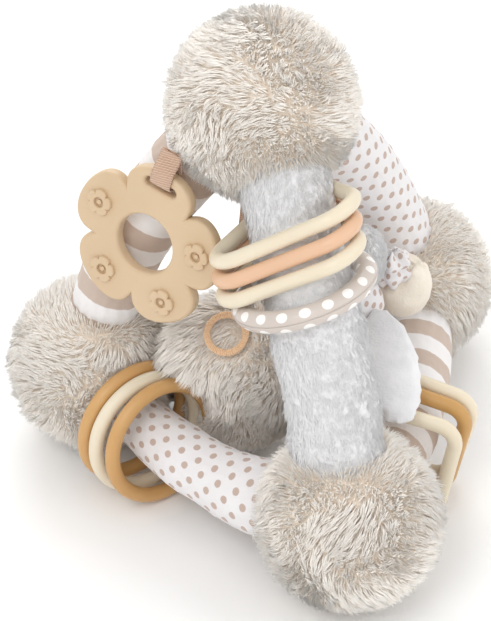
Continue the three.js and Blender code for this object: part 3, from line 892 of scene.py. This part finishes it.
def strand_mesh(name, points, shading, side_slot, tip_slot):
    """Closed strands. Each has two rings of three points and a tip, and is shaded like the skin below it."""
    count = len(points)
    first = (np.arange(count) * 7)[:, None]
    sides = [first + np.array([[k, 3 + k, 3 + (k + 1) % 3, (k + 1) % 3]]) for k in range(3)]
    tips = [first + np.array([[3 + k, 6, 3 + (k + 1) % 3]]) for k in range(3)]
    feet = [first + np.array([[0, 1, 2]])]
    corners = np.concatenate([faces.ravel() for faces in sides + tips + feet])
    totals = np.repeat((4, 3), (3 * count, 4 * count))
    starts = np.concatenate([[0], np.cumsum(totals)[:-1]])
    slots = np.concatenate([np.tile(side_slot, 3), np.tile(tip_slot, 3), np.full(count, SHADED_ROOT_TONE)])
    mesh = bpy.data.meshes.new(name)
    mesh.vertices.add(count * 7)
    mesh.vertices.foreach_set("co", points.astype(np.float32).ravel())
    mesh.loops.add(len(corners))
    mesh.loops.foreach_set("vertex_index", corners.astype(np.int32))
    mesh.polygons.add(len(totals))
    mesh.polygons.foreach_set("loop_start", starts.astype(np.int32))
    mesh.polygons.foreach_set("material_index", slots.astype(np.int32))
    mesh.polygons.foreach_set("use_smooth", np.ones(len(totals), dtype=bool))
    mesh.update(calc_edges=True)
    mesh.validate()
    mesh.normals_split_custom_set_from_vertices(unit(shading.reshape(-1, 3)))
    return mesh


def pile(name, roots, normals, clump_roots, clump_normals, seed, tall=8.6, sweep=11.0, thick=(0.26, 0.42),
         comb=(0, 0, -0.15), loose=1.0, tuft=(0.3, 0.75), room=(5.0, 7.0, 0.16), press=None, upright=None):
    """Pile that leans together in clumps, its measures in millimetres.

    comb: the way that all of it leans, and loose: how much that wanders. tuft: how far a strand is drawn to
    its clump's tip. room: how near a ring it is shortest, how far off it is full again, and its least share.
    press: each root's share of the length. upright: how much each strand stands up.
    """
    rng = np.random.default_rng(seed)
    count = len(roots)
    flow = waves(seed, 6, 0.09, 0.018)

    def lean(points, away):
        push = (flow(points) * loose + np.array(comb)) * sweep * MM
        return push - away * (push * away).sum(axis=1, keepdims=True)

    clump_high = rng.uniform(*CLUMP_HEIGHTS, len(clump_roots))[:, None] * tall * MM
    clump_tip = clump_roots + clump_normals * clump_high + lean(clump_roots, clump_normals)
    clump_tip += rng.normal(size=clump_tip.shape) * CLUMP_STRAY * sweep * MM
    high = rng.uniform(*STRAND_HEIGHTS, count)[:, None] * tall * MM
    tip = roots + normals * high + lean(roots, normals)
    tip += rng.normal(size=roots.shape) * STRAND_STRAY * sweep * MM
    gather = rng.uniform(*tuft, count)[:, None]
    _, clump = nearest(roots, clump_roots)
    tip = tip * (1 - gather) + clump_tip[clump] * gather
    if upright is not None:
        straight = roots + normals * 1.3 * high
        tip += (straight - tip) * 0.8 * upright[:, None]
    reach, _ = nearest(roots + normals * 4 * MM, RING_POINTS)
    near, fade, least = room
    short = np.clip((reach / MM - near) / fade, least, 1.0)[:, None]
    if press is not None:
        short = short * press(roots)[:, None]
    tip = roots + (tip - roots) * short
    middle = roots + normals * 0.62 * high * short + (tip - roots) * 0.18
    base = roots - normals * 0.8 * MM
    side = unit(np.cross(normals, tip - roots))
    wide = rng.uniform(*thick, count)[:, None] * MM
    rings, shading = [], []
    for share, size in STRAND_SECTIONS:
        at = base * (1 - share) ** 2 + middle * 2 * share * (1 - share) + tip * share ** 2
        ahead = unit((1 - share) * (middle - base) + share * (tip - middle))
        up = np.cross(side, ahead)
        for k in range(3):
            angle = 2 * math.pi * k / 3
            way = side * math.cos(angle) + up * math.sin(angle)
            rings.append(at + way * wide * size)
            shading.append(normals + 0.6 * way)
    points = np.stack([*rings, tip], axis=1)
    points[:, :, 2] = np.maximum(points[:, :, 2], FLOOR_ROOM)
    # A strand's lower half takes a darker tone than its tip, as painted shade low in the pile; which tone
    # among them is picked at random.
    tone = rng.uniform(size=count)
    side_slot = np.where(tone < 0.25, TIP_TONE, np.where(tone > 0.88, SHADED_ROOT_TONE, SHADED_MIDDLE_TONE))
    tip_slot = np.where(tone < 0.45, PALE_TONE, TIP_TONE)
    return strand_mesh(name, points, np.stack([*shading, normals], axis=1), side_slot, tip_slot)


def skin(name, centre, radius, seed):
    """A lumpy closed ball of backing cloth."""
    work = bmesh.new()
    bmesh.ops.create_icosphere(work, subdivisions=5, radius=1)
    mesh = bpy.data.meshes.new(name)
    work.to_mesh(mesh)
    work.free()
    away = vectors_of(mesh)
    spots = centre + away * radius
    lumps = waves(seed, 5, 0.08, 0.02)(spots)[:, :1]
    set_points(mesh, spots - away * (1.0 + lumps) * 0.5 * MM)
    return mesh


def gap_to_bars(points):
    """Distance from each point to the nearest bar's cloth, less than nothing inside it."""
    gap = np.full(len(points), 1.0)
    for bow, radii, *_ in BARS.values():
        shares = np.linspace(0, 1, 60)
        line = np.array([tuple(bow.at(t)[0]) for t in shares])
        reach, index = nearest(points, line)
        size = np.array([profile(radii, t) for t in shares])[index] * MM
        gap = np.minimum(gap, reach - size)
    return gap


for seed, name in enumerate(CORNER):
    centre = np.array(CORNER[name])
    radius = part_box(f"ball_{name}_cover")[1][2] - centre[2]
    ball = skin(f"ball_{name}_skin", centre, radius, 70 + seed)
    piece = add_piece(ball.name, ball, "frame", BACKING)
    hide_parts(f"ball_{name}_cover")
    away = scattered(STRANDS, 0.012, seed)
    gap = gap_to_bars(centre + away * radius)
    away, gap = away[gap > -MM], gap[gap > -MM]
    clumps = scattered(BALL_CLUMPS, 0.032, seed + 9)
    upright = 1 - np.clip(gap / (9 * MM), 0, 1)
    roots, clump_roots = centre + away * (radius - ROOT_DEPTH), centre + clumps * radius
    mesh = pile(f"ball_{name}_pile", roots, away, clump_roots, clumps, 30 + seed, upright=upright)
    add_piece(mesh.name, mesh, "frame", FUR)


def on_surface(mesh, count, seed):
    """Random places on a mesh, evenly by area: points and normals."""
    mesh.calc_loop_triangles()
    rng = np.random.default_rng(seed)
    points, normals = vectors_of(mesh), vectors_of(mesh, "normal")
    corners = np.empty(len(mesh.loop_triangles) * 3, dtype=np.int32)
    mesh.loop_triangles.foreach_get("vertices", corners)
    corners = corners.reshape(-1, 3)
    a, b, c = (points[corners[:, k]] for k in range(3))
    area = np.linalg.norm(np.cross(b - a, c - a), axis=1)
    pick = corners[rng.choice(len(area), size=count, p=area / area.sum())]
    u, v = rng.uniform(size=(2, count, 1))
    over = u + v > 1
    u, v = np.where(over, 1 - u, u), np.where(over, 1 - v, v)

    def blend(values):
        return values[pick[:, 0]] * (1 - u - v) + values[pick[:, 1]] * u + values[pick[:, 2]] * v
    return blend(points), unit(blend(normals))


def short_pile(source, name, body, count, seed, comb):
    """Short white pile on a plush piece."""
    cloth = bpy.data.objects[source].data
    spots, away = on_surface(cloth, count, seed)
    clump_spots, clump_away = on_surface(cloth, count // 18, seed + 1)
    mesh = pile(name, spots, away, clump_spots, clump_away, seed + 2, tall=1.7, sweep=4.6,
                thick=(0.16, 0.26), comb=comb, loose=0.25, tuft=(0.05, 0.3))
    add_piece(name, mesh, body, WHITE_PILE)


short_pile("bar_top_front_cloth", "bar_top_front_pile", "frame", STRANDS, 201, TF.along)
HIDDEN = BARS["left_right"][0]
short_pile("bar_left_right_cloth", "bar_left_right_pile", "frame", STRANDS // 2, 211, HIDDEN.along)


# ---- soft animal ----

CLOTH_SCALE = 10
CLOTH_STEPS = 20
MOST_MOVED = 1.8 * MM


def blow_up(holder, swell):
    """Blow a closed cover up from inside as cloth, at a larger size, and cap how far it moves."""
    rest = vectors_of(holder.data)
    middle = rest.mean(axis=0)
    set_points(holder.data, (rest - middle) * CLOTH_SCALE)
    cloth = holder.modifiers.new("cloth", "CLOTH")
    cloth.settings.quality = 6
    cloth.settings.use_pressure = True
    cloth.settings.uniform_pressure_force = 4
    cloth.settings.shrink_min = -swell
    cloth.settings.effector_weights.gravity = 0
    cloth.point_cache.frame_end = CLOTH_STEPS
    for step in range(1, CLOTH_STEPS + 1):
        scene.frame_set(step)
    moved = vectors_of(baked(holder)) / CLOTH_SCALE
    scene.frame_set(1)
    holder.modifiers.clear()
    push = moved - moved.mean(axis=0) - (rest - middle)
    reach = np.linalg.norm(push, axis=1, keepdims=True)
    push *= np.minimum(1, MOST_MOVED / np.maximum(reach, 1e-9))
    set_points(holder.data, rest + push)


def soft_copy(node, name, voxel, swell):
    """A CAD solid's own shape as a stuffed cloth cover."""
    mesh = bpy.data.objects[node].data.copy()
    mesh.materials.clear()
    holder = bpy.data.objects.new(name + "_work", mesh)
    scene.collection.objects.link(holder)
    remesh = holder.modifiers.new("remesh", "REMESH")
    remesh.mode = "VOXEL"
    remesh.voxel_size = voxel * MM
    relax = holder.modifiers.new("relax", "SMOOTH")
    relax.iterations = 5
    relax.factor = 0.5
    even = baked(holder)
    holder.modifiers.clear()
    holder.data = even
    if FINE and swell:
        blow_up(holder, swell)
    finer = holder.modifiers.new("finer", "SUBSURF")
    finer.levels = 2 if FINE else 1
    made = baked(holder)
    bpy.data.objects.remove(holder)
    made.name = name
    made.materials.clear()
    return made


def wrap(mesh, centre, size):
    """Cloth coordinates from the direction out of the middle, in millimetres."""
    away = vectors_of(mesh) - np.array(centre)
    turn = np.arctan2(away[:, 1], -away[:, 0])
    rise = np.arctan2(away[:, 2], np.hypot(away[:, 0], away[:, 1]))
    flat = np.stack([turn * size, rise * size * 1.15], axis=1)
    loops = np.empty(len(mesh.loops), dtype=np.int32)
    mesh.loops.foreach_get("vertex_index", loops)
    mesh.uv_layers.new(name="cloth").data.foreach_set("uv", flat[loops].astype(np.float32).ravel())


def soft_part(node, name, material, seed, dent, voxel=3.6, swell=0.08, size=20, extra=None):
    """A stuffed part of the animal, dented at random. extra: more push along the normals, in millimetres."""
    mesh = soft_copy(node, name, voxel, swell)
    coarse, fine = waves(seed, 5, 0.05, 0.012), waves(seed + 5, 5, 0.012, 0.004)
    spots, normals = vectors_of(mesh), vectors_of(mesh, "normal")
    push = (coarse(spots)[:, :1] + 0.3 * fine(spots)[:, :1]) * dent
    if extra:
        push = push + extra(spots, normals)
    set_points(mesh, spots + normals * push * MM)
    wrap(mesh, centre_of(node), size)
    piece = add_piece(name, mesh, "animal", material)
    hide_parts(node)


PATCH_CENTRE = np.array(centre_of("animal_stitched_ring"))
PATCH_FACE = Vector((-0.305, -0.55, 0.777)).normalized()
TO_RINGS = np.array([-0.9, -0.1, 0.42])
CUFF_CENTRE = np.array(centre_of("animal_cuff"))
CUFF_HALF = 13 * MM


def slump(spots, normals):
    """The soft body swells over the round rings that lean on it, and is flat at the stitched ring."""
    away = np.linalg.norm(spots - PATCH_CENTRE, axis=1, keepdims=True) / MM
    lean = np.clip(normals @ TO_RINGS, 0, 1)[:, None]
    return 7.0 * lean ** 2 * np.clip((away - 13) / 14, 0, 1) - 1.6 * (away < 15)


def gathers(spots, normals):
    """Folds drawn together by a thread round the middle of the cuff."""
    away = spots - CUFF_CENTRE
    turn = np.arctan2(away[:, 1], away[:, 0])
    rise = away[:, 2] / CUFF_HALF
    folds = np.sin(turn * 6 + 1.5 * np.sin(2 * turn) + rise) * (0.7 + 1.3 * np.clip(np.abs(rise), 0, 1))
    return (folds - 2.8 * np.exp(-((rise - 0.1) / 0.16) ** 2))[:, None]


def puckers(spots, normals):
    """Creases of the paw that run out from the cuff."""
    away = spots - CUFF_CENTRE
    turn = np.arctan2(away[:, 2], away[:, 1])
    reach = np.linalg.norm(away, axis=1) / MM
    return (1.2 * np.sin(turn * 7 + 0.1 * reach) * np.exp(-np.clip(reach - 12, 0, 60) / 9))[:, None]


def flatten_patch(roots):
    """The body's fur is shorter inside the stitched ring and very short along it."""
    reach = np.linalg.norm(roots - PATCH_CENTRE, axis=1) / MM
    return np.where(reach < 8.5, 0.6, np.clip((reach - 10.0) / 11.0, 0.3, 1.0))


soft_part("animal_body", "animal_body_skin", BACKING, 90, 0.6, 5.0, 0.04, extra=slump)
soft_part("animal_shoulder", "animal_shoulder_look", WHITE_PLUSH, 91, 1.2)
short_pile("animal_shoulder_look", "animal_shoulder_pile", "animal", STRANDS // 4, 221, (0, 0, -1))
soft_part("animal_torso", "animal_torso_look", SMALL_DOTS, 92, 1.2, size=25)
soft_part("animal_cuff", "animal_cuff_look", SMALL_DOTS, 93, 0.5, 2.6, 0, 12, gathers)
soft_part("animal_paw", "animal_paw_look", VELBOA, 94, 0.7, 3.6, 0.1, extra=puckers)
soft_part("animal_ear", "animal_ear_look", EAR_PLUSH, 95, 0.5, 3.0, 0.03)

body_mesh = bpy.data.objects["animal_body_skin"].data
spots, away = on_surface(body_mesh, STRANDS, 5)
clump_spots, clump_away = on_surface(body_mesh, BODY_CLUMPS, 6)
mesh = pile("animal_body_pile", spots - away * ROOT_DEPTH, away, clump_spots, clump_away, 61, tall=8.4,
            sweep=13.0, comb=(-0.45, -0.2, -0.35), room=(2.0, 6.0, 0.5), press=flatten_patch)
add_piece(mesh.name, mesh, "animal", FUR)

STITCHES = 64
STITCH_STEPS = 8
STITCH_SIDES = 6
STITCHED_RADIUS = 11


def stitched_ring():
    """Satin stitches laid side by side round a ring. Each is an arched, closed rod."""
    face = PATCH_FACE.to_track_quat("Z", "Y").to_matrix().to_4x4()
    place = Matrix.Translation(Vector(PATCH_CENTRE)) @ face
    rng = np.random.default_rng(8)
    points, faces = [], []
    for k in range(STITCHES):
        angle = 2 * math.pi * k / STITCHES
        start = len(points)
        reach = 1.9 + rng.uniform(-0.12, 0.12)
        for step in range(STITCH_STEPS + 1):
            share = step / STITCH_STEPS * 2 - 1
            arch = math.sqrt(max(0.0, 1 - share ** 2)) - 0.2
            out = STITCHED_RADIUS + share * reach
            for corner in range(STITCH_SIDES):
                way = 2 * math.pi * corner / STITCH_SIDES
                swing = angle + 0.03 * share + 0.56 * math.cos(way) / STITCHED_RADIUS
                spot = (out * math.cos(swing), out * math.sin(swing), arch + 0.5 * math.sin(way))
                points.append(place @ (Vector(spot) * MM))
        for step in range(STITCH_STEPS):
            row = start + step * STITCH_SIDES
            for corner in range(STITCH_SIDES):
                a, b = row + corner, row + (corner + 1) % STITCH_SIDES
                faces.append((a, b, b + STITCH_SIDES, a + STITCH_SIDES))
        faces.append(tuple(start + q for q in reversed(range(STITCH_SIDES))))
        faces.append(tuple(start + STITCH_STEPS * STITCH_SIDES + q for q in range(STITCH_SIDES)))
    return mesh_of("animal_stitches", points, faces)


stitched = add_piece("animal_stitches", stitched_ring(), "animal", EMBROIDERY)
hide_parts("animal_stitched_ring")


# ---- CAD nodes that stay ----

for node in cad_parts:
    if node.endswith("_stuffing"):
        material = FIBRE
    elif node.startswith("rattle_bead"):
        material = BEAD
    else:
        continue
    solid = bpy.data.objects[node]
    if not solid.material_slots:
        solid.data.materials.append(material)
    for holder in solid.material_slots:
        holder.material = material
